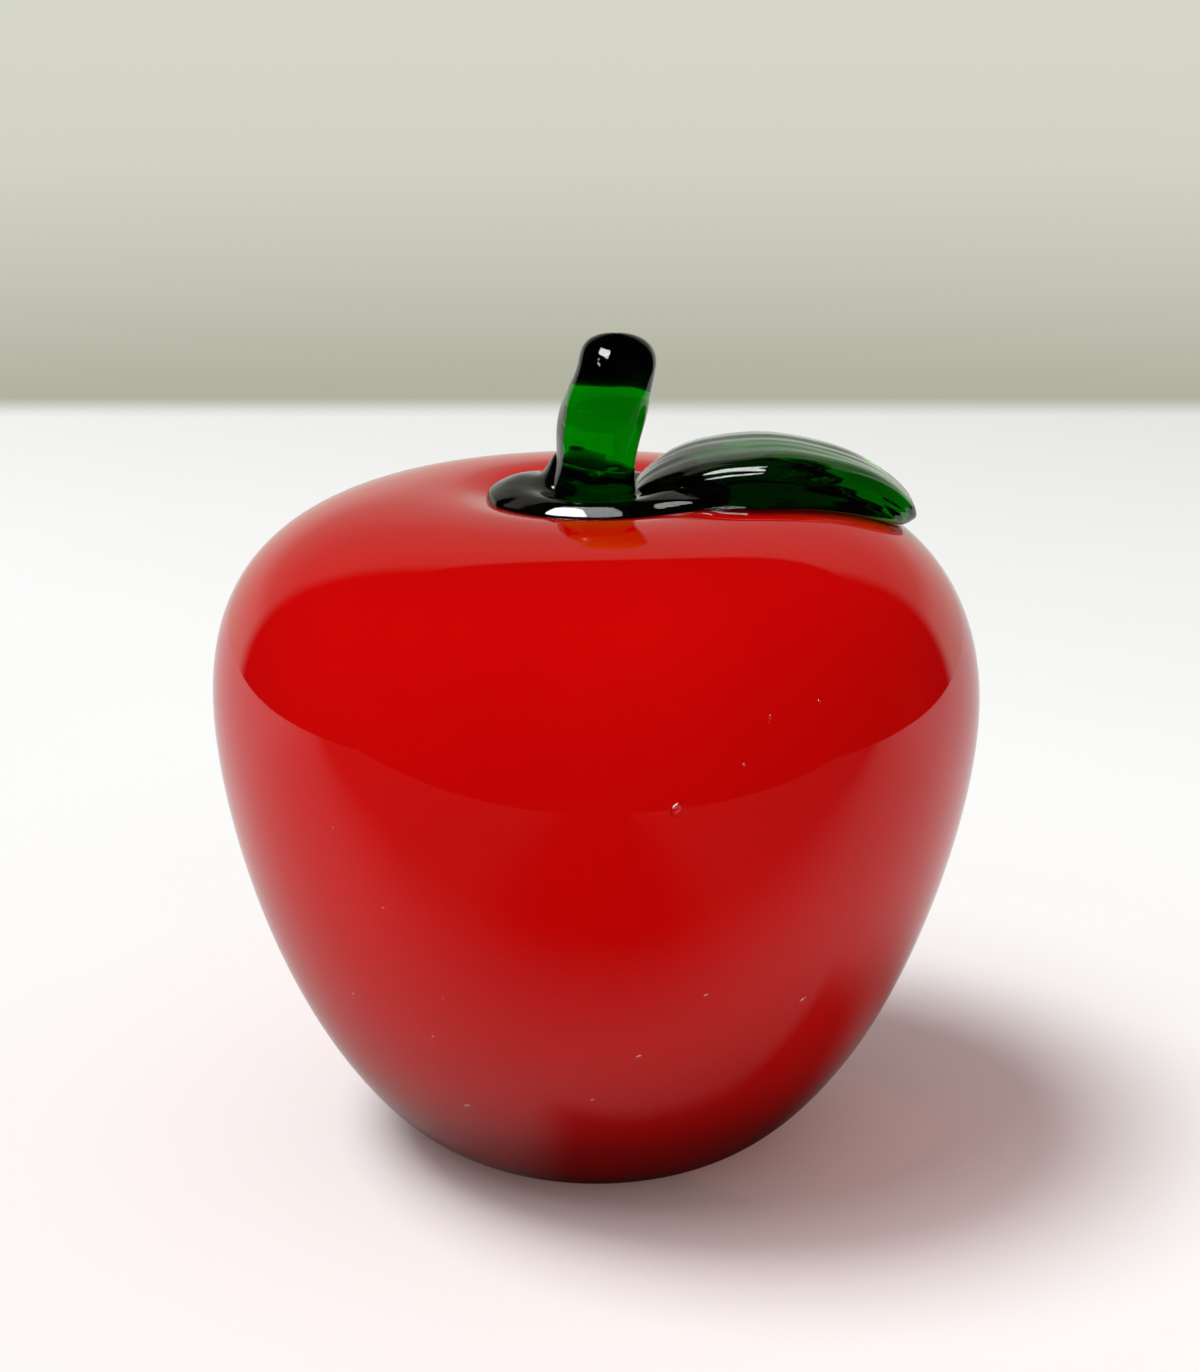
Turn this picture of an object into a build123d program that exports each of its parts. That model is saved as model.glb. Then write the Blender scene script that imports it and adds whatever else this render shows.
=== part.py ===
from build123d import *
import os
from math import cos, radians, sin

# Hand-blown glass apple: millimetres, +Z up, origin at the centre of the flat base.

# outside outline of the apple
body_radius = 44.0
belly_height = 53.0
base_radius = 19.8
base_rise_angle = 27.0
base_rise = 15.8
belly_fall = 15.8
belly_lift = 15.4
shoulder_reach = 17.4
rim_radius = 17.0
rim_height = 77.0
rim_reach_in = 6.0
dimple_depth = 2.7
hole_radius = 5.0
hole_reach = 4.0

# glass walls, each layer measured from the one outside it
casing_wall = 2.5
casing_floor = 4.0
red_wall = 1.5
red_floor = 2.0
lining_wall = 2.0
lining_floor = 2.5

# green bit that closes the blow hole
pad_half_length = 12.9
pad_half_width = 12.4
pad_rise = 5.0
pad_lift = 0.6

# stem, heights measured up from the rim of the apple
stem_foot_half_width = 7.5
stem_foot_offset = -1.3
stem_foot_depth = 0.6
stem_flare_half_width = 5.5
stem_flare_offset = -0.8
stem_flare_height = 2.5
stem_waist_half_width = 4.6
stem_waist_offset = -0.2
stem_waist_height = 4.2
stem_belly_half_width = 4.95
stem_belly_offset = 0.8
stem_belly_height = 8.8
stem_neck_half_width = 4.3
stem_neck_height = 13.8
stem_cap_half_width = 3.2
stem_cap_height = 16.7
stem_end_half_width = 0.9
stem_total_height = 17.8
stem_lean = 2.3
stem_depth_ratio = 0.88

# leaf, its crown line drawn by four points: reach along X, rise above the rim of the apple
leaf_root_reach = 4.0
leaf_root_rise = -0.5
leaf_lift_reach = 9.0
leaf_lift_rise = 7.5
leaf_fall_reach = 30.0
leaf_fall_rise = 10.0
leaf_tip_reach = 37.0
leaf_tip_rise = -3.0
leaf_side_offset = 0.5
leaf_side_drift = 3.5
leaf_root_half_width = 6.0
leaf_neck_half_width = 10.4
leaf_broad_half_width = 12.4
leaf_middle_half_width = 10.8
leaf_taper_half_width = 7.8
leaf_shoulder_half_width = 4.9
leaf_tip_half_width = 1.2
leaf_neck_share = 0.2
leaf_broad_share = 0.36
leaf_middle_share = 0.55
leaf_taper_share = 0.76
leaf_shoulder_share = 0.9
leaf_thickness = 4.4
leaf_shoulder_thickness = 3.5
leaf_tip_thickness = 1.8
leaf_edge_thickness = 2.0
leaf_droop = 3.2

hole_height = rim_height - dimple_depth
pad_centre_height = hole_height + pad_lift


def outline(depth, floor):
    """Half outline of the apple, taken in from the outside by a wall depth and a floor height."""
    base = Vector(base_radius, 0, floor)
    rise = Vector(base_rise * cos(radians(base_rise_angle)), 0, base_rise * sin(radians(base_rise_angle)))
    belly = Vector(body_radius - depth, 0, belly_height)
    rim = Vector(rim_radius, 0, rim_height - depth)
    hole = Vector(hole_radius, 0, hole_height - depth)
    lower = Bezier(base, base + rise, belly - Vector(0, 0, belly_fall), belly)
    upper = Bezier(belly, belly + Vector(0, 0, belly_lift), rim + Vector(shoulder_reach, 0, 0), rim)
    dimple = Bezier(rim, rim - Vector(rim_reach_in, 0, 0), hole + Vector(hole_reach, 0, 0), hole)
    return base, hole, [lower, upper, dimple]


def turned(edges):
    return revolve(make_face(edges), Axis.Z)


def layer(outer_depth, outer_floor, wall, floor):
    """One blown layer: flat inside and outside at the base, open at the blow hole."""
    outer_base, outer_hole, outer_curves = outline(outer_depth, outer_floor)
    inner_base, inner_hole, inner_curves = outline(outer_depth + wall, outer_floor + floor)
    outer_axis = Vector(0, 0, outer_base.Z)
    inner_axis = Vector(0, 0, inner_base.Z)
    edges = [Line(outer_axis, outer_base)]
    edges += outer_curves
    edges += [Line(outer_hole, inner_hole)]
    edges += inner_curves
    edges += [Line(inner_base, inner_axis), Line(inner_axis, outer_axis)]
    return turned(edges)


def apple_fill():
    """Everything inside the outer face of the apple, used to seat the green glass on it."""
    base, hole, curves = outline(0, 0)
    bottom = Vector(0, 0, base.Z)
    top = Vector(0, 0, hole.Z)
    return turned([Line(bottom, base)] + curves + [Line(hole, top), Line(top, bottom)])


def pad_dome():
    dome = scale(Sphere(1), by=(pad_half_length, pad_half_width, pad_rise))
    return Pos(0, 0, pad_centre_height) * dome


def blow_hole_plug():
    depth = casing_wall + red_wall + lining_wall
    return Pos(0, 0, hole_height - depth / 2) * Cylinder(hole_radius, depth)


def stem_section(height, half_width, offset):
    place = Plane(origin=(offset, 0, rim_height + height), z_dir=(0, 0, 1))
    return place * Ellipse(half_width, half_width * stem_depth_ratio)


def stem_blank():
    """Drawn rod with a flared foot, leaning over to one side and rounded at its end."""
    sections = [
        stem_section(-stem_foot_depth, stem_foot_half_width, stem_foot_offset),
        stem_section(stem_flare_height, stem_flare_half_width, stem_flare_offset),
        stem_section(stem_waist_height, stem_waist_half_width, stem_waist_offset),
        stem_section(stem_belly_height, stem_belly_half_width, stem_belly_offset),
        stem_section(stem_neck_height, stem_neck_half_width, stem_lean),
        stem_section(stem_cap_height, stem_cap_half_width, stem_lean),
        stem_section(stem_total_height, stem_end_half_width, stem_lean),
    ]
    return loft(sections)


def leaf_crown_line():
    """Highest line along the leaf: up off the pad, over the rim and down the shoulder."""
    return Bezier(
        Vector(leaf_root_reach, 0, rim_height + leaf_root_rise),
        Vector(leaf_lift_reach, 0, rim_height + leaf_lift_rise),
        Vector(leaf_fall_reach, 0, rim_height + leaf_fall_rise),
        Vector(leaf_tip_reach, 0, rim_height + leaf_tip_rise),
    )


def leaf_section(share, half_width, thickness):
    """Crescent across the leaf, standing square to the crown line at a share of its length."""
    crown_line = leaf_crown_line()
    sideways = Vector(0, leaf_side_offset + share * leaf_side_drift, 0)
    place = Plane(origin=crown_line @ share + sideways, x_dir=(0, 1, 0), z_dir=crown_line % share)
    edge = leaf_edge_thickness * thickness / leaf_thickness
    spread = half_width / leaf_broad_half_width
    middle = -thickness / 2 - leaf_droop * (1 - (1 - spread) ** 2)
    top = middle + edge / 2
    under = middle - edge / 2
    bulge = half_width + edge / 2
    wire = Wire([
        ThreePointArc((-half_width, top), (0, 0), (half_width, top)),
        ThreePointArc((half_width, top), (bulge, middle), (half_width, under)),
        ThreePointArc((half_width, under), (0, -thickness), (-half_width, under)),
        ThreePointArc((-half_width, under), (-bulge, middle), (-half_width, top)),
    ])
    return place * Face(wire)


def leaf_blank():
    sections = [
        leaf_section(0, leaf_root_half_width, leaf_thickness),
        leaf_section(leaf_neck_share, leaf_neck_half_width, leaf_thickness),
        leaf_section(leaf_broad_share, leaf_broad_half_width, leaf_thickness),
        leaf_section(leaf_middle_share, leaf_middle_half_width, leaf_thickness),
        leaf_section(leaf_taper_share, leaf_taper_half_width, leaf_thickness),
        leaf_section(leaf_shoulder_share, leaf_shoulder_half_width, leaf_shoulder_thickness),
        leaf_section(1, leaf_tip_half_width, leaf_tip_thickness),
    ]
    return loft(sections)


def save(solid, node):
    solid.label = node
    export_step(solid, "parts/" + node + ".step")


os.makedirs("parts", exist_ok=True)

clear_casing = layer(0, 0, casing_wall, casing_floor)
red_overlay = layer(casing_wall, casing_floor, red_wall, red_floor)
white_lining = layer(casing_wall + red_wall, casing_floor + red_floor, lining_wall, lining_floor)
fill = apple_fill()
dome = pad_dome()
rod = stem_blank()
stem_pad = dome - fill + blow_hole_plug()
stem = rod - dome
leaf = leaf_blank() - (fill + dome + rod)

save(clear_casing, "clear_casing")
save(red_overlay, "red_overlay")
save(white_lining, "white_lining")
save(stem_pad, "stem_pad")
save(stem, "stem")
save(leaf, "leaf")
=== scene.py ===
import math

import bpy
import numpy as np
from mathutils import Euler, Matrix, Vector


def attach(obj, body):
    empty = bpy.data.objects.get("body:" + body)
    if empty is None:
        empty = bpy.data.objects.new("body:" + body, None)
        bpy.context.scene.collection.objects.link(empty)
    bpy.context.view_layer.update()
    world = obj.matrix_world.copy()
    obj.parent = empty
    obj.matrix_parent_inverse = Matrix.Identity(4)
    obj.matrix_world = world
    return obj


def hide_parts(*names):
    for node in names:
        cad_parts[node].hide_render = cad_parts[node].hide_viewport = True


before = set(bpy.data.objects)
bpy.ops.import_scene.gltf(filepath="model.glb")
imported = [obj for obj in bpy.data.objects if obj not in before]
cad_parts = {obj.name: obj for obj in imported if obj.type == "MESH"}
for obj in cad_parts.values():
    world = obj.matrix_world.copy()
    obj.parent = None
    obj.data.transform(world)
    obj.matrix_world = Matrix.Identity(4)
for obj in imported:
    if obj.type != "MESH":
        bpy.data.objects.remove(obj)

MM = 0.001
QUARTER_TURN = math.pi / 2
FULL_TURN = 2 * math.pi
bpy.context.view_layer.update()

# outline of the apple in millimetres, with the values that the solids have
BODY_RADIUS = 44.0
BELLY_HEIGHT = 53.0
BASE_RADIUS = 19.8
BASE_RISE = (14.08, 7.17)
BELLY_FALL = 15.8
BELLY_LIFT = 15.4
SHOULDER_REACH = 17.4
RIM_RADIUS = 17.0
RIM_HEIGHT = 77.0
RIM_REACH_IN = 6.0
HOLE_RADIUS = 5.0
HOLE_HEIGHT = 74.3
HOLE_REACH = 4.0
# points along the lower side, the upper side and the dimple, and how many before the rim count as top side
LOWER_POINTS = 90
UPPER_POINTS = 110
DIMPLE_POINTS = 50
TOP_SIDE_POINTS = 60

# walls of the layers; the casing's floor is thinner than the solid's, so that the red starts near the base
CASING_WALL = 2.5
CASING_FLOOR = 1.5
RED_WALL = 1.5
RED_FLOOR = 2.0
ALL_WALLS = 6.0
LAYER_OVERLAP = 0.1
WELD = 0.3

# photograph's view
CAMERA_PITCH = math.radians(17.0)
CAMERA_DISTANCE = 301.6
CAMERA_TARGET = (0.42, 0.0, 53.68)
CAMERA_SENSOR = 24.0
FOCAL_PIXELS = 2600.0
IMAGE_HEIGHT = 1372.0


def smooth_step(low, high, value):
    share = np.clip((value - low) / (high - low), 0.0, 1.0)
    return share * share * (3.0 - 2.0 * share)


def bezier(points, shares):
    t = shares[:, None]
    a, b, c, d = [np.array(p, float) for p in points]
    return (1 - t) ** 3 * a + 3 * (1 - t) ** 2 * t * b + 3 * (1 - t) * t ** 2 * c + t ** 3 * d


def through(stations, places):
    """Smooth curve through a few stations (place, value, value...), read at the given places."""
    stations = np.array(stations, float)
    x, values = stations[:, 0], stations[:, 1:]
    step = np.diff(x)
    slope = np.diff(values, axis=0) / step[:, None]
    system = np.eye(len(x))
    change = np.zeros_like(values)
    for i in range(1, len(x) - 1):
        system[i, i - 1:i + 2] = step[i - 1], 2 * (step[i - 1] + step[i]), step[i]
        change[i] = 6 * (slope[i] - slope[i - 1])
    bend = np.linalg.solve(system, change)
    k = np.clip(np.searchsorted(x, places, side="right") - 1, 0, len(x) - 2)
    h = step[k][:, None]
    right = (places - x[k])[:, None] / h
    left = 1 - right
    curve = ((left ** 3 - left) * bend[k] + (right ** 3 - right) * bend[k + 1]) * h ** 2 / 6
    return (left * values[k] + right * values[k + 1] + curve).T


def turn_from(angle, middle):
    """How far each angle lies from a middle given in degrees, from -180 to 180 degrees."""
    return (np.degrees(angle) - middle + 180.0) % 360.0 - 180.0


def round_angles(columns):
    return np.linspace(0.0, FULL_TURN, columns, endpoint=False)


def outline(depth, floor):
    """Outline of the apple from the edge of the base to the blow hole, radius and height."""
    base = np.array([BASE_RADIUS, floor])
    belly = np.array([BODY_RADIUS - depth, BELLY_HEIGHT])
    rim = np.array([RIM_RADIUS, RIM_HEIGHT - depth])
    hole = np.array([HOLE_RADIUS, HOLE_HEIGHT - depth])
    lower = (base, base + BASE_RISE, belly - (0, BELLY_FALL), belly)
    upper = (belly, belly + (0, BELLY_LIFT), rim + (SHOULDER_REACH, 0), rim)
    dimple = (rim, rim - (RIM_REACH_IN, 0), hole + (HOLE_REACH, 0), hole)
    curves = ((lower, LOWER_POINTS), (upper, UPPER_POINTS), (dimple, DIMPLE_POINTS))
    lines = [bezier(points, np.linspace(0.0, 1.0, count)) for points, count in curves]
    return np.vstack([lines[0], lines[1][1:], lines[2][1:]])


OUTSIDE = outline(0.0, 0.0)
TOP_SIDE = OUTSIDE[OUTSIDE[:, 1].argmax() - TOP_SIDE_POINTS:][::-1]


def surface_height(radius):
    """Height of the apple's top side at a distance from its axis."""
    return np.interp(radius, TOP_SIDE[:, 0], TOP_SIDE[:, 1])


def new_object(name, vertices, faces, material, slot):
    mesh = bpy.data.meshes.new(name)
    mesh.from_pydata([tuple(v) for v in np.asarray(vertices) * MM], [], faces)
    mesh.validate()
    mesh.shade_smooth()
    mesh.materials.append(material)
    piece = bpy.data.objects.new(name, mesh)
    bpy.context.scene.collection.objects.link(piece)
    if slot:
        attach(piece, "root")
    return piece


def grid_faces(rows, columns):
    """Quads between rows of points, each row closed into a ring."""
    faces = []
    for i in range(rows - 1):
        low = i * columns
        high = low + columns
        for j in range(columns):
            k = (j + 1) % columns
            faces.append((low + j, low + k, high + k, high + j))
    return faces


def closed_rings(rings, first, last):
    """Closed mesh from rings of points, with a middle point closing the first and the last ring."""
    columns = len(rings[0])
    vertices = np.vstack([*rings, [first, last]])
    faces = grid_faces(len(rings), columns)
    start = len(rings) * columns
    last_ring = start - columns
    for j in range(columns):
        k = (j + 1) % columns
        faces.append((start, k, j))
        faces.append((start + 1, last_ring + j, last_ring + k))
    return vertices, faces


def turned_ring(angle, radius, height):
    """One ring of points round the axis."""
    heights = np.broadcast_to(height, angle.shape)
    return np.stack([radius * np.cos(angle), radius * np.sin(angle), heights], 1)


# wobble of the hand-formed body: heights between which it sets in, and the fuller left shoulder
WOBBLE_START = (3.0, 16.0)
SHOULDER_RISE = 0.3
SHOULDER_HEIGHT = 69.0
SHOULDER_SPAN = 10.0
WOBBLE_FULL_RADIUS = 20.0
# its waves: depth, waves round the axis, phase, and turn for each millimetre of height
WOBBLE_WAVES = (
    (0.12, 2, 0.6, 0.0),
    (0.07, 3, 2.0, 1 / 18),
    (0.03, 5, -QUARTER_TURN, -1 / 8),
    (0.02, 8, 0.0, 1 / 6),
)
FLOOR_RINGS = 12


def hand_wobble(angle, height):
    """How far the hand-formed surface stands off the true outline, in millimetres."""
    offset = -SHOULDER_RISE * np.cos(angle) * np.exp(-((height - SHOULDER_HEIGHT) / SHOULDER_SPAN) ** 2)
    for depth, waves, phase, turn in WOBBLE_WAVES:
        offset = offset + depth * np.cos(waves * angle + phase + turn * height)
    return smooth_step(*WOBBLE_START, height) * offset


def blown_layer(outer, inner, columns=288):
    """Closed shell turned from an outer and an inner outline, with the hand-formed wobble."""
    floor_out = [(r, outer[0, 1]) for r in np.linspace(0.0, outer[0, 0], FLOOR_RINGS)[1:-1]]
    floor_in = [(r, inner[0, 1]) for r in np.linspace(inner[0, 0], 0.0, FLOOR_RINGS)[1:-1]]
    angle = round_angles(columns)
    rings = []
    for radius, height in np.vstack([floor_out, outer, inner[::-1], floor_in]):
        wobble = hand_wobble(angle, height) * min(1.0, radius / WOBBLE_FULL_RADIUS)
        rings.append(turned_ring(angle, radius + wobble, height))
    return closed_rings(rings, (0, 0, outer[0, 1]), (0, 0, inner[0, 1]))


# seeds in the casing: angle round the axis, height, half length, half height
SEEDS = (
    (-79.0, 53.7, 0.60, 0.60),
    (-82.9, 23.9, 0.42, 0.20),
    (-55.1, 28.3, 0.48, 0.14),
    (-56.8, 62.6, 0.24, 0.22),
    (-90.7, 17.6, 0.28, 0.16),
    (-73.1, 31.5, 0.34, 0.16),
    (-65.3, 61.8, 0.16, 0.32),
    (-115.8, 14.6, 0.50, 0.22),
    (-69.6, 57.6, 0.22, 0.22),
    (-133.8, 27.1, 0.24, 0.18),
    (-118.2, 24.4, 0.24, 0.14),
    (-122.0, 40.3, 0.20, 0.14),
    (-129.3, 48.4, 0.20, 0.16),
    (-114.4, 30.1, 0.16, 0.12),
    (150.0, 36.0, 0.35, 0.22),
    (95.0, 58.0, 0.30, 0.30),
    (60.0, 25.0, 0.40, 0.20),
    (20.0, 47.0, 0.26, 0.22),
    (-20.0, 33.0, 0.30, 0.18),
    (-165.0, 60.0, 0.24, 0.20),
)
# how deep they lie, how much larger all of them are, how far they slant upwards and how thick they are
SEED_DEPTH = 1.0
SEED_SCALE = 1.3
SEED_SLANT = 0.35
SEED_THICKNESS = 0.7


def seed_bubble(angle, height, half_length, half_height, columns=12, rows=7):
    """Small closed bubble in the casing's wall. Its faces look into the bubble, away from the glass."""
    angle = math.radians(angle)
    half_length *= SEED_SCALE
    half_height *= SEED_SCALE
    side = OUTSIDE[:OUTSIDE[:, 1].argmax() + 1]
    radius = np.interp(height, side[:, 1], side[:, 0]) - SEED_DEPTH
    out = np.array([math.cos(angle), math.sin(angle), 0.0])
    along = np.array([-math.sin(angle), math.cos(angle), SEED_SLANT])
    up = np.array([0.0, 0.0, 1.0])
    middle = radius * out + height * up
    end = half_height * SEED_THICKNESS * out
    turn = round_angles(columns)[:, None]
    flat = half_length * np.cos(turn) * along + half_height * np.sin(turn) * up
    leans = np.linspace(0.0, math.pi, rows + 2)[1:-1]
    rings = [middle + math.sin(lean) * flat - math.cos(lean) * end for lean in leans]
    return closed_rings(rings, middle - end, middle + end)


def joined(shapes):
    """Several closed meshes as one."""
    vertices, faces = [], []
    count = 0
    for points, polygons in shapes:
        faces += [tuple(i + count for i in polygon) for polygon in polygons]
        vertices.append(points)
        count += len(points)
    return np.vstack(vertices), faces


# stem: height, sideways place, half width, front and back in depth
STEM_STATIONS = (
    (75.5, -0.7, 5.3, -5.8, 3.05),
    (78.0, -0.5, 4.9, -5.42, 3.43),
    (80.5, -0.1, 4.5, -5.05, 3.8),
    (83.0, 0.2, 4.73, -4.68, 4.18),
    (85.5, 0.7, 4.95, -4.3, 4.55),
    (88.5, 1.55, 4.75, -3.85, 4.95),
    (91.0, 2.3, 4.48, -3.48, 5.3),
    (94.7, 2.1, 4.4, -2.95, 5.8),
)
STEM_FOOT = 75.5
STEM_TOP = 94.7
STEM_LAST_SHARE = 0.985
# crease where the end is pressed: its height, its fall to the right, and slope and bend in front and behind
STEM_CREASE = 86.6
STEM_CREASE_FALL = -0.1
STEM_BEVELS = ((0.10, 0.02), (0.70, -0.012))
STEM_CREASE_SOFTNESS = 0.6
# swelling behind: heights where it starts and where it is full, and how far it stands out
STEM_SWELLING_HEIGHTS = (82.6, 87.6)
STEM_SWELLING = 1.4
# how square the section is and how far it is turned, in degrees, low down and at the end
STEM_SQUARE_HEIGHTS = (87.0, 92.0)
STEM_SQUARENESS = (2.9, 2.4)
STEM_TURN_HEIGHTS = (85.0, 88.5)
STEM_TURN = (12.0, 0.0)
# rounding of the end: height where it starts and how full it is, for the width and for the depth
STEM_WIDTH_CAP = (90.6, 2.9)
STEM_DEPTH_CAP = (90.5, 4.0)
# tool marks: angle, height, half angle, half height, depth
STEM_MARKS = (
    (-100.0, 87.0, 25.0, 0.35, 0.06),
    (-97.0, 85.3, 22.0, 1.3, 0.04),
    (-119.0, 83.0, 8.0, 0.4, 0.07),
    (-62.0, 81.0, 12.0, 0.6, 0.05),
    (95.0, 86.0, 40.0, 1.6, 0.05),
)


def cap(height, start, fullness):
    share = np.clip((height - start) / (STEM_TOP - start), 0.0, 1.0)
    return np.sqrt(1.0 - share ** fullness)


def stem_marks(angle, height):
    """How deep the tool marks press into the stem, in millimetres."""
    depth = np.zeros_like(angle)
    for mark_angle, mark_height, half_angle, half_height, deep in STEM_MARKS:
        turn = turn_from(angle, mark_angle) / half_angle
        depth += deep * np.exp(-turn ** 4 - ((height - mark_height) / half_height) ** 4)
    return depth


def stem_section(angle, height):
    """Rounded square section of the stem, one wide and one deep from the middle."""
    power = np.interp(height, STEM_SQUARE_HEIGHTS, STEM_SQUARENESS)
    turned = angle - math.radians(np.interp(height, STEM_TURN_HEIGHTS, STEM_TURN))
    reach = (np.abs(np.cos(turned)) ** power + np.abs(np.sin(turned)) ** power) ** (-1 / power)
    across = reach * np.cos(angle)
    along = reach * np.sin(angle)
    return across / across.max(), along / along.max()


def stem_bevel(sideways, along, height):
    """How far the pressed end is pushed back in front and forward behind, in millimetres."""
    above = (height - STEM_CREASE + STEM_CREASE_FALL * sideways) / STEM_CREASE_SOFTNESS
    above = STEM_CREASE_SOFTNESS * np.log1p(np.exp(above))
    front, back = [slope * above + bend * above ** 2 for slope, bend in STEM_BEVELS]
    return front * np.maximum(0.0, -along), back * np.maximum(0.0, along)


def stem_shape(columns=120, rows=220):
    share = np.linspace(0.0, STEM_LAST_SHARE, rows)
    height = STEM_FOOT + (STEM_TOP - STEM_FOOT) * np.sin(share * QUARTER_TURN)
    offset, half_width, front, back = through(STEM_STATIONS, height)
    half_width = half_width * cap(height, *STEM_WIDTH_CAP)
    back = back + STEM_SWELLING * smooth_step(*STEM_SWELLING_HEIGHTS, height)
    depth = (front + back) / 2
    half_depth = (back - front) / 2
    closing = cap(height, *STEM_DEPTH_CAP)
    angle = round_angles(columns)
    rings = []
    for z, x, w, y, d, close in zip(height, offset, half_width, depth, half_depth, closing):
        across, along = stem_section(angle, z)
        pressed = stem_marks(angle, z)
        sideways = (w - pressed) * across
        front_push, back_push = stem_bevel(sideways, along, z)
        middle = y + (front_push.max() - back_push.max()) / 2
        depth_place = y + (d - pressed) * along + front_push - back_push
        ring = [x + sideways, middle + (depth_place - middle) * close, np.full(columns, z)]
        rings.append(np.stack(ring, 1))
    return closed_rings(rings, (offset[0], depth[0], STEM_FOOT), (offset[-1], middle, STEM_TOP))


# pad: height inside the rolled edge, the roll's height, radii between which it rises, fullness of the edge
PAD_TOP = 77.3
PAD_ROLL = 1.2
PAD_ROLL_RADII = (5.5, 10.5)
PAD_FULLNESS = 3.2
# swellings: the left lobe, the fillet up the stem's left side and the collar behind it (place, reach, rise)
PAD_SWELLINGS = (
    (-7.5, 1.0, 4.0, 5.0, 1.0),
    (-4.3, 0.8, 1.5, 3.0, 3.4),
    (-1.0, 5.0, 4.0, 2.4, 1.2),
)
# edge seen from above: radius, shift to the front, waves (depth, count, phase)
PAD_RADIUS = 12.2
PAD_SHIFT = 0.6
PAD_WAVES = (
    (0.45, 2, 0.0),
    (0.2, 3, 0.5),
    (0.12, 5, -QUARTER_TURN),
)
# lobe towards the root of the leaf: angle and half angle in degrees, and reach
PAD_LOBE_ANGLE = -27.0
PAD_LOBE_SPAN = 18.0
PAD_LOBE_REACH = 4.0
# rim in front: its slope, how soft its upper edge is, and where and how steeply it ends towards the back
PAD_RIM_SLOPE = 0.55
PAD_RIM_SOFTNESS = 0.4
PAD_RIM_END = (-7.0, -3.0)
PAD_RIM_END_RISE = 3.0
# plug in the blow hole: radius and depth below the top of the hole
PAD_PLUG = (
    (HOLE_RADIUS - 0.05, 0.6),
    (HOLE_RADIUS - 0.05, 5.4),
    (4.2, 5.9),
    (2.0, ALL_WALLS),
)
PAD_WELD_START = 0.97
PAD_SEAT_START = 0.985
PAD_SEAT_RINGS = 24


def smooth_minimum(first, second, width):
    share = np.clip(0.5 + (second - first) / (2 * width), 0.0, 1.0)
    return second + (first - second) * share - width * share * (1 - share)


def pad_edge(angle):
    """Outline of the pad seen from above, with the lobes of a bit dropped hot."""
    edge = PAD_RADIUS - PAD_SHIFT * np.sin(angle)
    for depth, count, phase in PAD_WAVES:
        edge = edge + depth * np.cos(count * angle + phase)
    return edge + PAD_LOBE_REACH * np.exp(-(turn_from(angle, PAD_LOBE_ANGLE) / PAD_LOBE_SPAN) ** 2)


def pad_height(x, y, share):
    radius = np.hypot(x, y)
    top = PAD_TOP + PAD_ROLL * smooth_step(*PAD_ROLL_RADII, radius)
    for middle_x, middle_y, reach_x, reach_y, rise in PAD_SWELLINGS:
        top = top + rise * np.exp(-((x - middle_x) / reach_x) ** 2 - ((y - middle_y) / reach_y) ** 2)
    seat = surface_height(radius)
    height = seat + (top - seat) * np.sqrt(np.maximum(0.0, 1.0 - share ** PAD_FULLNESS))
    edge = radius / share
    rim = surface_height(edge) + PAD_RIM_SLOPE * (edge - radius)
    rim = rim + PAD_RIM_END_RISE * smooth_step(*PAD_RIM_END, y)
    height = smooth_minimum(height, np.maximum(rim, seat), PAD_RIM_SOFTNESS)
    return height - WELD * smooth_step(PAD_WELD_START, 1.0, share)


def pad_shape(columns=144, rows=80):
    angle = round_angles(columns)
    edge = pad_edge(angle)
    rings = []
    for share in np.sin(np.linspace(0.02, 1.0, rows) * QUARTER_TURN):
        x = share * edge * np.cos(angle)
        y = share * edge * np.sin(angle)
        rings.append(np.stack([x, y, pad_height(x, y, share)], 1))
    for share in np.linspace(PAD_SEAT_START, (HOLE_RADIUS + WELD) / edge.min(), PAD_SEAT_RINGS):
        rings.append(turned_ring(angle, share * edge, surface_height(share * edge) - WELD))
    for radius, depth in PAD_PLUG:
        rings.append(turned_ring(angle, radius, HOLE_HEIGHT - depth))
    return closed_rings(rings[::-1], (0, 0, HOLE_HEIGHT - ALL_WALLS), (0, 0, PAD_TOP))


# leaf: the line along its crown, reach and height, then its half width along that line
LEAF_CROWN = ((3.5, 76.0), (7.5, 85.4), (32.6, 84.4), (37.6, 73.1))
LEAF_BROAD = 12.4
LEAF_WIDTHS = (
    (0.0, 4.5),
    (0.2, 10.2),
    (0.36, LEAF_BROAD),
    (0.55, 11.2),
    (0.76, 8.4),
    (0.9, 6.2),
    (1.0, 4.4),
)
LEAF_LAST_SHARE = 0.97
LEAF_SIDE_OFFSET = 0.5
LEAF_SIDE_DRIFT = 3.5
# thickness in the middle and at the edge, and the shares along the leaf between which it gets thinner
LEAF_THICKNESS = 4.4
LEAF_EDGE = 2.4
LEAF_THINNING = 0.35
LEAF_THINNING_SHARES = (0.75, 0.95)
LEAF_EDGE_ROUNDNESS = 6
# how far the far and the near side hang, how much the near edge curls up again and where its fall starts
LEAF_FAR_DROOP = 2.4
LEAF_NEAR_DROOP = 4.2
LEAF_NEAR_CURL = 0.55
LEAF_SHOULDER = 0.28
# how far the leaf is rolled towards the viewer, and the place across it that keeps its height
LEAF_ROLL = 0.07
LEAF_ROLL_AXIS = 0.7
# tip: where its rounding starts, how blunt it is, and how much of the thickness stays at its end
LEAF_TIP_START = 0.84
LEAF_TIP_BLUNTNESS = 2.8
LEAF_TIP_THICKNESS = 0.25
# beyond its root the leaf only lies on the apple, with a film of air under it
LEAF_GAP = 0.12
LEAF_ROOT_END = (0.25, 0.4)
# least thickness of the leaf's edge
LEAF_LIP = 0.6
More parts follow.
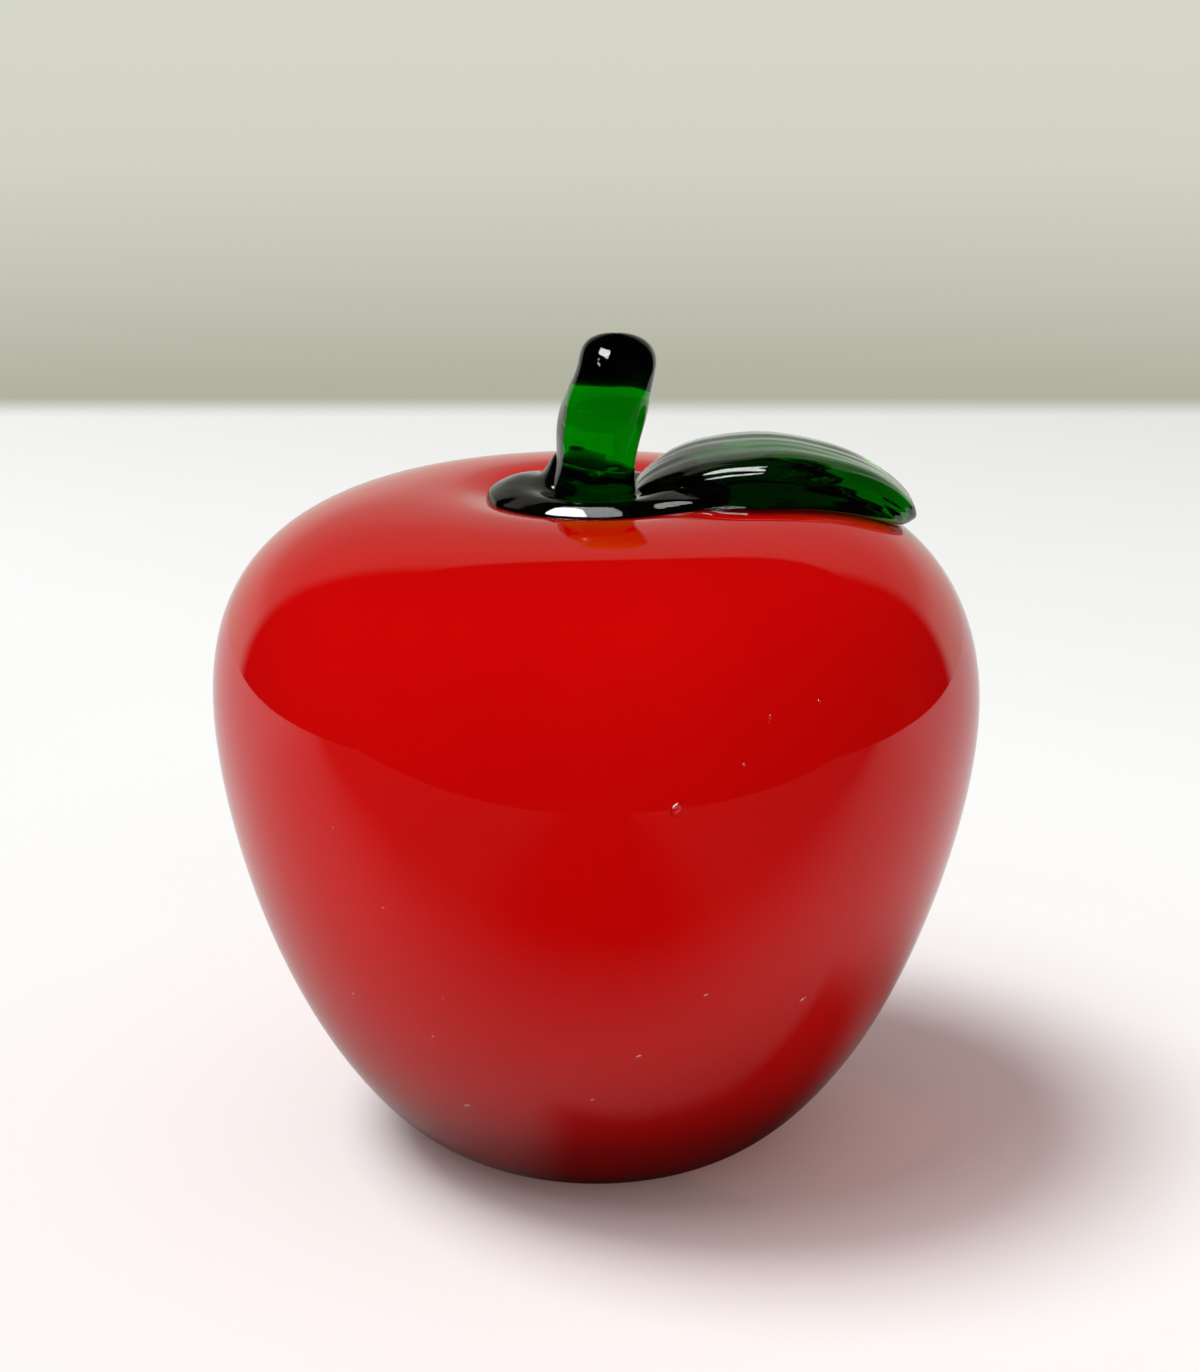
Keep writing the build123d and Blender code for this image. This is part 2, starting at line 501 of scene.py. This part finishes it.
# streaks along the leaf: depth, waves across, phase, change along the leaf, share of the drift
LEAF_STREAKS = (
    (0.022, 19.0, 0.0, 0.0, 1.0),
    (0.015, 31.0, 1.7, 4.0, -1.0),
    (0.05, 7.0, 0.6, 3.0, 0.0),
)
LEAF_NEAR_STREAKS = (0.03, 46.0, 0.0, 0.0, 2.0)
LEAF_NEAR_SHARES = (0.25, 0.6)
LEAF_SWELL = 0.07
LEAF_STREAK_START = 0.12


def leaf_streaks(across, u):
    """Shallow streaks along the leaf, in millimetres."""
    drift = 0.8 * math.sin(u * 5.0) + 0.5 * math.sin(u * 11.0 + 1.0)

    def streak(depth, waves, phase, change, share):
        return depth * np.sin(across * waves + phase + u * change + share * drift)

    swell = LEAF_SWELL * math.sin(u * 21.0) * np.cos(across * 2.0 + u * 6.0)
    near = streak(*LEAF_NEAR_STREAKS) * smooth_step(*LEAF_NEAR_SHARES, -across)
    return sum(streak(*values) for values in LEAF_STREAKS) + swell + near


def leaf_line(share):
    """Points along the crown of the leaf and the direction out of it, reach and height."""
    crown = bezier(LEAF_CROWN, share)
    tangent = np.gradient(crown, share, axis=0)
    tangent /= np.linalg.norm(tangent, axis=1)[:, None]
    return crown, np.stack([-tangent[:, 1], tangent[:, 0]], 1)


def leaf_droop(across, half_width):
    """How far the leaf hangs below its crown line across its width, in millimetres."""
    near = (np.maximum(0.0, -across - LEAF_SHOULDER) / (1.0 - LEAF_SHOULDER)) ** 2
    near_droop = LEAF_NEAR_DROOP * near * (1.0 - LEAF_NEAR_CURL * near)
    roll = LEAF_ROLL * half_width * (across - LEAF_ROLL_AXIS)
    far_droop = LEAF_FAR_DROOP * np.maximum(0.0, across) ** 4 - roll
    spread = half_width / LEAF_BROAD
    return (near_droop + far_droop) * (1 - (1 - spread) ** 2)


def leaf_section(across, side, round_edge, u, half_width, close):
    """Heights over the crown line round one section of the leaf."""
    thick = LEAF_THICKNESS * (1.0 - LEAF_THINNING * smooth_step(*LEAF_THINNING_SHARES, u))
    edge = LEAF_EDGE * thick / LEAF_THICKNESS
    closing = LEAF_TIP_THICKNESS + (1.0 - LEAF_TIP_THICKNESS) * close
    half = 0.5 * (edge + (thick - edge) * (1 - across ** 4)) * closing
    streaks = leaf_streaks(across, u) * smooth_step(0.0, LEAF_STREAK_START, u) * close
    middle = -thick / 2 - leaf_droop(across, half_width) * close
    return middle + (side * half + streaks * (side > 0)) * round_edge


def leaf_shape(rows=200, columns=176):
    share = np.sin(np.linspace(0.0, LEAF_LAST_SHARE, rows) * QUARTER_TURN)
    crown, outward = leaf_line(share)
    half_width, = through(LEAF_WIDTHS, share)
    tip = np.clip((share - LEAF_TIP_START) / (1.0 - LEAF_TIP_START), 0.0, 1.0)
    closing = np.sqrt(1.0 - tip ** LEAF_TIP_BLUNTNESS)
    angle = round_angles(columns)
    across = np.cos(angle)
    side = np.sign(np.sin(angle))
    round_edge = np.sqrt(np.maximum(0.0, 1.0 - np.abs(across) ** LEAF_EDGE_ROUNDNESS))
    rings = []
    for u, point, out, w, close in zip(share, crown, outward, half_width, closing):
        up = leaf_section(across, side, round_edge, u, w, close)
        x = point[0] + out[0] * up
        y = LEAF_SIDE_OFFSET + LEAF_SIDE_DRIFT * u + w * close * across
        z = point[1] + out[1] * up
        free = smooth_step(*LEAF_ROOT_END, u)
        lift = LEAF_GAP * free - WELD * (1 - free)
        z = np.maximum(z, surface_height(np.hypot(x, y)) + lift + LEAF_LIP * round_edge * (side > 0))
        rings.append(np.stack([x, y, z], 1))
    end = rings[-1].mean(0) + np.array([0.1, 0.0, -0.1])
    return closed_rings(rings, rings[0].mean(0), end)


# materials

def node_material(name):
    material = bpy.data.materials.new(name)
    material.use_nodes = True
    tree = material.node_tree
    shader = tree.nodes["Principled BSDF"]
    return material, tree, shader


def object_axes(tree):
    """The place on the object, in metres, as three values."""
    place = tree.nodes.new("ShaderNodeTexCoord")
    axes = tree.nodes.new("ShaderNodeSeparateXYZ")
    tree.links.new(place.outputs["Object"], axes.inputs["Vector"])
    return axes.outputs["X"], axes.outputs["Y"], axes.outputs["Z"]


def noise_node(tree, scale, detail=3.0, roughness=0.5, stretch=(1, 1, 1)):
    place = tree.nodes.new("ShaderNodeTexCoord")
    mapping = tree.nodes.new("ShaderNodeMapping")
    mapping.inputs["Scale"].default_value = stretch
    texture = tree.nodes.new("ShaderNodeTexNoise")
    texture.inputs["Scale"].default_value = scale
    texture.inputs["Detail"].default_value = detail
    texture.inputs["Roughness"].default_value = roughness
    tree.links.new(place.outputs["Object"], mapping.inputs["Vector"])
    tree.links.new(mapping.outputs["Vector"], texture.inputs["Vector"])
    return texture.outputs["Fac"]


def ramp(tree, source, stops):
    node = tree.nodes.new("ShaderNodeValToRGB")
    elements = node.color_ramp.elements
    while len(elements) < len(stops):
        elements.new(0.5)
    for element, (place, colour) in zip(elements, stops):
        element.position = place
        element.color = (*colour, 1.0)
    tree.links.new(source, node.inputs["Fac"])
    return node.outputs["Color"]


def map_range(tree, source, low, high, kind="SMOOTHSTEP"):
    node = tree.nodes.new("ShaderNodeMapRange")
    node.interpolation_type = kind
    node.inputs["From Min"].default_value = low
    node.inputs["From Max"].default_value = high
    tree.links.new(source, node.inputs["Value"])
    return node.outputs["Result"]


def noise_values(tree, noise, low, high):
    """The middle range of a noise, spread between two values."""
    node = tree.nodes.new("ShaderNodeMapRange")
    node.inputs["From Min"].default_value = 0.3
    node.inputs["From Max"].default_value = 0.7
    node.inputs["To Min"].default_value = low
    node.inputs["To Max"].default_value = high
    tree.links.new(noise, node.inputs["Value"])
    return node.outputs["Result"]


def noise_colours(tree, noise, low, high):
    """The middle range of a noise, spread between two colours."""
    return ramp(tree, noise, ((0.3, low), (0.7, high)))


def multiply_colour(tree, first, second):
    node = tree.nodes.new("ShaderNodeMix")
    node.data_type = "RGBA"
    node.blend_type = "MULTIPLY"
    node.inputs["Factor"].default_value = 1.0
    tree.links.new(first, node.inputs["A"])
    tree.links.new(second, node.inputs["B"])
    return node.outputs["Result"]


def mix_colour(tree, factor, first, second):
    node = tree.nodes.new("ShaderNodeMix")
    node.data_type = "RGBA"
    tree.links.new(factor, node.inputs["Factor"])
    for socket, value in ((node.inputs["A"], first), (node.inputs["B"], second)):
        if isinstance(value, tuple):
            socket.default_value = (*value, 1.0)
        else:
            tree.links.new(value, socket)
    return node.outputs["Result"]


def calculate(tree, operation, *sources):
    node = tree.nodes.new("ShaderNodeMath")
    node.operation = operation
    for source, socket in zip(sources, node.inputs):
        tree.links.new(source, socket)
    return node.outputs["Value"]


def slanted(tree, main, other, share):
    """One coordinate with a share of another added."""
    node = tree.nodes.new("ShaderNodeMath")
    node.operation = "MULTIPLY_ADD"
    node.inputs[1].default_value = share
    tree.links.new(other, node.inputs[0])
    tree.links.new(main, node.inputs[2])
    return node.outputs["Value"]


def bump(tree, source, strength, distance):
    node = tree.nodes.new("ShaderNodeBump")
    node.inputs["Strength"].default_value = strength
    node.inputs["Distance"].default_value = distance
    tree.links.new(source, node.inputs["Height"])
    return node.outputs["Normal"]


GLASS_IOR = 1.5
WHITE = (1.0, 1.0, 1.0)
CASING_TINT = (0.97, 0.98, 0.97)
CASING_ROUGHNESS = (0.0, 0.012)
# the red, darker and lighter in slow swirls
RED_SWIRLS = (
    (0.25, (0.575, 0.0008, 0.0008)),
    (0.6, (0.63, 0.0015, 0.001)),
    (0.85, (0.665, 0.006, 0.002)),
)
RED_STRETCH = (1.0, 1.0, 0.45)
# the red is darker towards the base: the height in metres where that ends, and the brightness kept below it
BASE_DARKENING_TOP = 0.04
BASE_DARKENING = (
    (0.08, (0.25, 0.25, 0.25)),
    (0.22, (0.30, 0.30, 0.30)),
    (0.42, (0.64, 0.64, 0.64)),
    (0.62, (0.82, 0.82, 0.82)),
    (1.0, WHITE),
)
OPAL_COLOURS = ((0.80, 0.79, 0.75), (0.88, 0.87, 0.84))
GREEN_TINT = (0.93, 0.98, 0.94)
GREEN_ROUGHNESS = (0.0, 0.03)
GREEN_DENSITY = 2400.0
GREEN_BLUE = 0.2


def clear_glass():
    material, tree, shader = node_material("clear_glass")
    shader.inputs["Transmission Weight"].default_value = 1.0
    shader.inputs["IOR"].default_value = GLASS_IOR
    colour = noise_colours(tree, noise_node(tree, 60.0), CASING_TINT, WHITE)
    tree.links.new(colour, shader.inputs["Base Color"])
    roughness = noise_values(tree, noise_node(tree, 90.0, 2.0), *CASING_ROUGHNESS)
    tree.links.new(roughness, shader.inputs["Roughness"])
    normal = bump(tree, noise_node(tree, 55.0, 1.0), 0.25, 0.0002)
    tree.links.new(normal, shader.inputs["Normal"])
    return material


def red_glass():
    material, tree, shader = node_material("red_glass")
    shader.inputs["Specular IOR Level"].default_value = 0.0
    shader.inputs["Roughness"].default_value = 0.6
    colour = ramp(tree, noise_node(tree, 26.0, 4.0, 0.55, RED_STRETCH), RED_SWIRLS)
    # the red darkens towards the base
    height = map_range(tree, object_axes(tree)[2], 0.0, BASE_DARKENING_TOP, "LINEAR")
    deep = ramp(tree, height, BASE_DARKENING)
    tree.links.new(multiply_colour(tree, colour, deep), shader.inputs["Base Color"])
    return material


def opal_glass():
    material, tree, shader = node_material("opal_glass")
    shader.inputs["Roughness"].default_value = 0.25
    colour = noise_colours(tree, noise_node(tree, 30.0), *OPAL_COLOURS)
    tree.links.new(colour, shader.inputs["Base Color"])
    return material


def green_glass(name, green, stretch):
    """Green glass. Its absorption lets no red through, the given share of green and little blue."""
    material, tree, shader = node_material(name)
    shader.inputs["Transmission Weight"].default_value = 1.0
    shader.inputs["IOR"].default_value = GLASS_IOR
    colour = noise_colours(tree, noise_node(tree, 80.0), GREEN_TINT, WHITE)
    tree.links.new(colour, shader.inputs["Base Color"])
    roughness = noise_values(tree, noise_node(tree, 140.0, 4.0), *GREEN_ROUGHNESS)
    tree.links.new(roughness, shader.inputs["Roughness"])
    normal = bump(tree, noise_node(tree, 160.0, 2.0, 0.5, stretch), 0.35, 0.0004)
    tree.links.new(normal, shader.inputs["Normal"])
    volume = tree.nodes.new("ShaderNodeVolumeAbsorption")
    volume.inputs["Color"].default_value = (0.0, green, GREEN_BLUE, 1.0)
    volume.inputs["Density"].default_value = GREEN_DENSITY
    tree.links.new(volume.outputs["Volume"], tree.nodes["Material Output"].inputs["Volume"])
    return material


# floor: how far it reaches in front and behind, its soft edge, and front and side of the mirrored floor
FLOOR_REACH = 468.0
FLOOR_FADE = 18.0
FLOOR_DROP = 0.05
MIRRORED_FRONT = -214.0
MIRRORED_SIDE = 560.0
# its colours near the apple and far behind, where painted shade greys it, and the range in metres of the way
# back, slanted to the right
FLOOR_NEAR = ((0.90, 0.905, 0.895), (0.92, 0.925, 0.915))
FLOOR_FAR_SHADE = (0.73, 0.735, 0.715)
FLOOR_FAR_RANGE = (0.15, 0.55)
FLOOR_FAR_SLANT = 0.6
# darkest part of the mirrored shadow in metres: its slanted front edge and its left, right and back ends
CORE_FRONT = (-0.038, -0.033)
CORE_SLANT = -0.2
CORE_LEFT = (-0.012, -0.002)
CORE_RIGHT = (0.065, 0.045)
CORE_BACK = (0.005, -0.015)
CORE_COLOUR = (0.08, 0.08, 0.08)
# mirrored floor in metres: from the middle to the sides, from far in front to near, and from there to behind
ASIDE_RANGE = (0.015, 0.06)
NEAR_RANGE = (-0.085, -0.03)
BEHIND_RANGE = (-0.05, 0.08)
# painted shade in front of the apple: darkest far in front in the middle, lighter near it and lit behind
FAR_FRONT_SHADE = ((0.01, 0.01, 0.01), (0.10, 0.10, 0.095))
NEAR_FRONT_SHADE = ((0.48, 0.48, 0.46), (0.42, 0.42, 0.40))
BEHIND_COLOUR = (0.70, 0.70, 0.69)


def dull_material(name):
    material, tree, shader = node_material(name)
    shader.inputs["Roughness"].default_value = 0.7
    shader.inputs["Specular IOR Level"].default_value = 0.0
    return material, tree, shader


def floor_material():
    material, tree, shader = dull_material("floor_white")
    x, y, _ = object_axes(tree)
    near = noise_colours(tree, noise_node(tree, 8.0), *FLOOR_NEAR)
    # painted shade: the floor greys towards the back and the right
    far = map_range(tree, slanted(tree, y, x, FLOOR_FAR_SLANT), *FLOOR_FAR_RANGE, "LINEAR")
    tree.links.new(mix_colour(tree, far, near, FLOOR_FAR_SHADE), shader.inputs["Base Color"])
    edge = FLOOR_REACH * MM
    cover = map_range(tree, calculate(tree, "ABSOLUTE", y), edge, edge - 2 * FLOOR_FADE * MM)
    tree.links.new(cover, shader.inputs["Alpha"])
    return material


def core_shadow(tree, x, y):
    """The darkest part of the shadow, close to the base on its right."""
    front = map_range(tree, slanted(tree, y, x, CORE_SLANT), *CORE_FRONT)
    left = map_range(tree, x, *CORE_LEFT)
    right = map_range(tree, x, *CORE_RIGHT)
    back = map_range(tree, y, *CORE_BACK)
    front_left = calculate(tree, "MULTIPLY", front, left)
    back_right = calculate(tree, "MULTIPLY", right, back)
    return calculate(tree, "MULTIPLY", front_left, back_right)


def mirror_floor_material():
    """The floor as the glass mirrors it: painted shade, dimmest far in front, and a painted shadow core by
    the base.
    """
    material, tree, shader = dull_material("floor_mirrored")
    x, y, _ = object_axes(tree)
    aside = map_range(tree, calculate(tree, "ABSOLUTE", x), *ASIDE_RANGE)
    far_front = mix_colour(tree, aside, *FAR_FRONT_SHADE)
    near_front = mix_colour(tree, aside, *NEAR_FRONT_SHADE)
    front = mix_colour(tree, map_range(tree, y, *NEAR_RANGE), far_front, near_front)
    lit = mix_colour(tree, map_range(tree, y, *BEHIND_RANGE), front, BEHIND_COLOUR)
    colour = mix_colour(tree, core_shadow(tree, x, y), lit, CORE_COLOUR)
    tree.links.new(colour, shader.inputs["Base Color"])
    return material


# pieces

clear = clear_glass()
red = red_glass()
green_stem = green_glass("green_glass_stem", 0.925, (1.0, 1.0, 0.35))
green_pad = green_glass("green_glass_pad", 0.93, (1.0, 1.0, 1.0))
green_leaf = green_glass("green_glass_leaf", 0.925, (0.18, 1.0, 1.0))

casing_inside = outline(CASING_WALL + LAYER_OVERLAP, CASING_FLOOR + LAYER_OVERLAP)
casing_shapes = [blown_layer(OUTSIDE, casing_inside)] + [seed_bubble(*seed) for seed in SEEDS]
casing = new_object("casing_glass", *joined(casing_shapes), clear, "clear_glass")
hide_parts("clear_casing")
casing.visible_shadow = False
casing.visible_diffuse = False

red_outside = outline(CASING_WALL, CASING_FLOOR)
red_inside = outline(CASING_WALL + RED_WALL, CASING_FLOOR + RED_FLOOR)
red_layer = new_object("red_layer", *blown_layer(red_outside, red_inside), red, "red_glass")
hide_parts("red_overlay")

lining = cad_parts["white_lining"]
lining.data.materials.clear()
lining.data.materials.append(opal_glass())

pad = new_object("pad_glass", *pad_shape(), green_pad, "green_glass")
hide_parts("stem_pad")
stem = new_object("stem_glass", *stem_shape(), green_stem, "green_glass")
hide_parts("stem")
leaf = new_object("leaf_glass", *leaf_shape(), green_leaf, "green_glass")
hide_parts("leaf")


# floor, world, lamps and camera

def floor_plane(name, low, high, z, material):
    corners = [(low[0], low[1], z), (high[0], low[1], z), (high[0], high[1], z), (low[0], high[1], z)]
    plane = new_object(name, corners, [(0, 1, 2, 3)], material, None)
    return plane


floor_corner = np.array([2 * FLOOR_REACH, FLOOR_REACH])
floor = floor_plane("floor", -floor_corner, floor_corner, -FLOOR_DROP, floor_material())
floor.visible_glossy = False
mirrored_low = (-MIRRORED_SIDE, MIRRORED_FRONT)
mirrored_high = (MIRRORED_SIDE, FLOOR_REACH)
mirrored_floor = floor_plane(
    "mirrored_floor", mirrored_low, mirrored_high, -FLOOR_DROP / 2, mirror_floor_material()
)
mirrored_floor.visible_camera = False
mirrored_floor.visible_diffuse = False
mirrored_floor.visible_transmission = False
mirrored_floor.visible_shadow = False


AMBIENT = (0.37, 0.37, 0.37)
DARK = (0.012, 0.012, 0.012)
# the pale backdrop from the floor up, and the heights of view between which it changes
BACKDROP = (
    (0.07, (0.445, 0.445, 0.36)),
    (0.3, (0.545, 0.545, 0.465)),
    (0.6, (0.648, 0.648, 0.562)),
    (1.0, (0.68, 0.68, 0.59)),
)
BACKDROP_HEIGHTS = (-0.19, -0.03)
# the backdrop as the glass mirrors it from the floor up, with its front edge and its slanted top
MIRRORED_BACKDROP = (
    (0.0, (0.68, 0.68, 0.60)),
    (0.15, (0.60, 0.60, 0.54)),
    (0.27, (0.36, 0.36, 0.32)),
    (0.45, (0.25, 0.25, 0.22)),
    (0.62, (0.29, 0.28, 0.23)),
    (0.75, (0.29, 0.27, 0.20)),
)
MIRRORED_BACKDROP_EDGE = (0.56, 0.66)
MIRRORED_BACKDROP_TOP = (0.72, 0.695)
MIRRORED_BACKDROP_SLANT = 0.15


def make_world():
    """A pale backdrop for the camera, the backdrop in the dark for the glass, even light for the rest."""
    world = bpy.data.worlds.new("studio")
    bpy.context.scene.world = world
    world.use_nodes = True
    tree = world.node_tree
    tree.nodes.clear()
    place = tree.nodes.new("ShaderNodeTexCoord")
    axes = tree.nodes.new("ShaderNodeSeparateXYZ")
    tree.links.new(place.outputs["Generated"], axes.inputs["Vector"])
    x, y, z = axes.outputs["X"], axes.outputs["Y"], axes.outputs["Z"]
    backdrop = ramp(tree, map_range(tree, z, *BACKDROP_HEIGHTS, "LINEAR"), BACKDROP)
    behind = map_range(tree, y, *MIRRORED_BACKDROP_EDGE)
    low = map_range(tree, slanted(tree, z, x, MIRRORED_BACKDROP_SLANT), *MIRRORED_BACKDROP_TOP)
    lit = calculate(tree, "MULTIPLY", behind, low)
    mirrored = mix_colour(tree, lit, DARK, ramp(tree, z, MIRRORED_BACKDROP))
    path = tree.nodes.new("ShaderNodeLightPath")
    shiny = calculate(tree, "MAXIMUM", path.outputs["Is Glossy Ray"], path.outputs["Is Transmission Ray"])
    shown = calculate(tree, "MAXIMUM", path.outputs["Is Camera Ray"], shiny)
    colour = mix_colour(tree, shown, AMBIENT, mix_colour(tree, shiny, backdrop, mirrored))
    background = tree.nodes.new("ShaderNodeBackground")
    tree.links.new(colour, background.inputs["Color"])
    output = tree.nodes.new("ShaderNodeOutputWorld")
    tree.links.new(background.outputs["Background"], output.inputs["Surface"])


make_world()


def new_lamp(name, kind, power):
    data = bpy.data.lights.new(name, kind)
    data.energy = power
    lamp = bpy.data.objects.new(name, data)
    bpy.context.scene.collection.objects.link(lamp)
    return lamp


def light_only(lamp, pieces):
    """Keep a lamp's light to these pieces. Everything still casts its shadow."""
    receivers = bpy.data.collections.new(lamp.name + "_receivers")
    for piece in pieces:
        receivers.objects.link(piece)
    lamp.light_linking.receiver_collection = receivers


def sun_lamp(name, elevation, azimuth, spread, strength, pieces):
    """Even light from one side: azimuth 0 is the viewer's side, 270 the left.

    A strength of 1 that falls straight on white shows it as full white.
    """
    lamp = new_lamp(name, "SUN", strength * math.pi)
    lamp.data.angle = math.radians(spread)
    lamp.rotation_euler = Euler((math.radians(90.0 - elevation), 0.0, math.radians(azimuth)))
    lamp.visible_glossy = False
    lamp.visible_transmission = False
    light_only(lamp, pieces)


sun_lamp("key", 66.0, 318.0, 34.0, 0.69, (casing, red_layer, lining, pad, stem, leaf))
sun_lamp("floor_key", 67.0, 266.0, 22.0, 0.57, (floor, mirrored_floor))
sun_lamp("floor_fill", 63.0, 296.0, 26.0, 0.2, (floor, mirrored_floor))


GLINT_DISTANCE = 0.7
GLINT_TARGET = (0.0, 0.0, 0.085)
# small panels for the highlights: name, direction, size in metres, power, piece and shape
GLINTS = (
    ("stem_glint", (-0.36, -0.43, 0.83), (0.29, 0.17), 2.7, stem, "RECTANGLE"),
    ("low_stem_glint", (-0.56, -0.505, 0.655), (0.10, 0.014), 0.05, stem, "RECTANGLE"),
    ("leaf_glint", (-0.05, 0.43, 0.89), (0.36, 0.10), 0.9, leaf, "ELLIPSE"),
    ("leaf_sheen", (0.05, 0.95, 0.30), (1.2, 0.5), 0.55, leaf, "RECTANGLE"),
    ("pad_glint", (-0.11, 0.33, 0.94), (0.17, 0.20), 1.4, pad, "ELLIPSE"),
    ("pad_sheen", (-0.06, 0.33, 0.94), (0.24, 0.24), 0.6, pad, "ELLIPSE"),
)


def glint_lamp(name, direction, size, power, piece, shape):
    """A small soft panel that lights one piece and that the camera doesn't see."""
    lamp = new_lamp(name, "AREA", power)
    lamp.data.shape = shape
    lamp.data.size, lamp.data.size_y = size
    target = Vector(GLINT_TARGET)
    lamp.location = target + GLINT_DISTANCE * Vector(direction).normalized()
    lamp.rotation_euler = (target - lamp.location).to_track_quat("-Z", "Y").to_euler()
    lamp.visible_camera = False
    light_only(lamp, (piece,))


for glint in GLINTS:
    glint_lamp(*glint)


GLOW_PLACE = (0.022, -0.005, 0.034)
GLOW_SIZE = 0.06
GLOW_POWER = 0.0034
GLOW_COLOUR = (1.0, 0.25, 0.15)


def red_glow():
    """The light that comes through the red glass on to the floor.

    Its only blocker is the mirrored floor, which casts no shadow, so the glass lets it through.
    """
    lamp = new_lamp("red_glow", "AREA", GLOW_POWER)
    lamp.data.shape = "DISK"
    lamp.data.size = GLOW_SIZE
    lamp.data.color = GLOW_COLOUR
    lamp.location = GLOW_PLACE
    lamp.visible_camera = False
    light_only(lamp, (floor,))
    blockers = bpy.data.collections.new("red_glow_blockers")
    blockers.objects.link(mirrored_floor)
    lamp.light_linking.blocker_collection = blockers


red_glow()


def make_camera():
    data = bpy.data.cameras.new("photo_view")
    data.sensor_fit = "VERTICAL"
    data.sensor_height = CAMERA_SENSOR
    data.lens = FOCAL_PIXELS / IMAGE_HEIGHT * CAMERA_SENSOR
    data.clip_start = 0.01
    camera = bpy.data.objects.new("photo_view", data)
    bpy.context.scene.collection.objects.link(camera)
    back = CAMERA_DISTANCE * math.cos(CAMERA_PITCH)
    up = CAMERA_DISTANCE * math.sin(CAMERA_PITCH)
    x, y, z = CAMERA_TARGET
    camera.location = (x * MM, (y - back) * MM, (z + up) * MM)
    camera.rotation_euler = Euler((QUARTER_TURN - CAMERA_PITCH, 0, 0))
    bpy.context.scene.camera = camera


make_camera()
bpy.context.scene.view_settings.view_transform = "Standard"
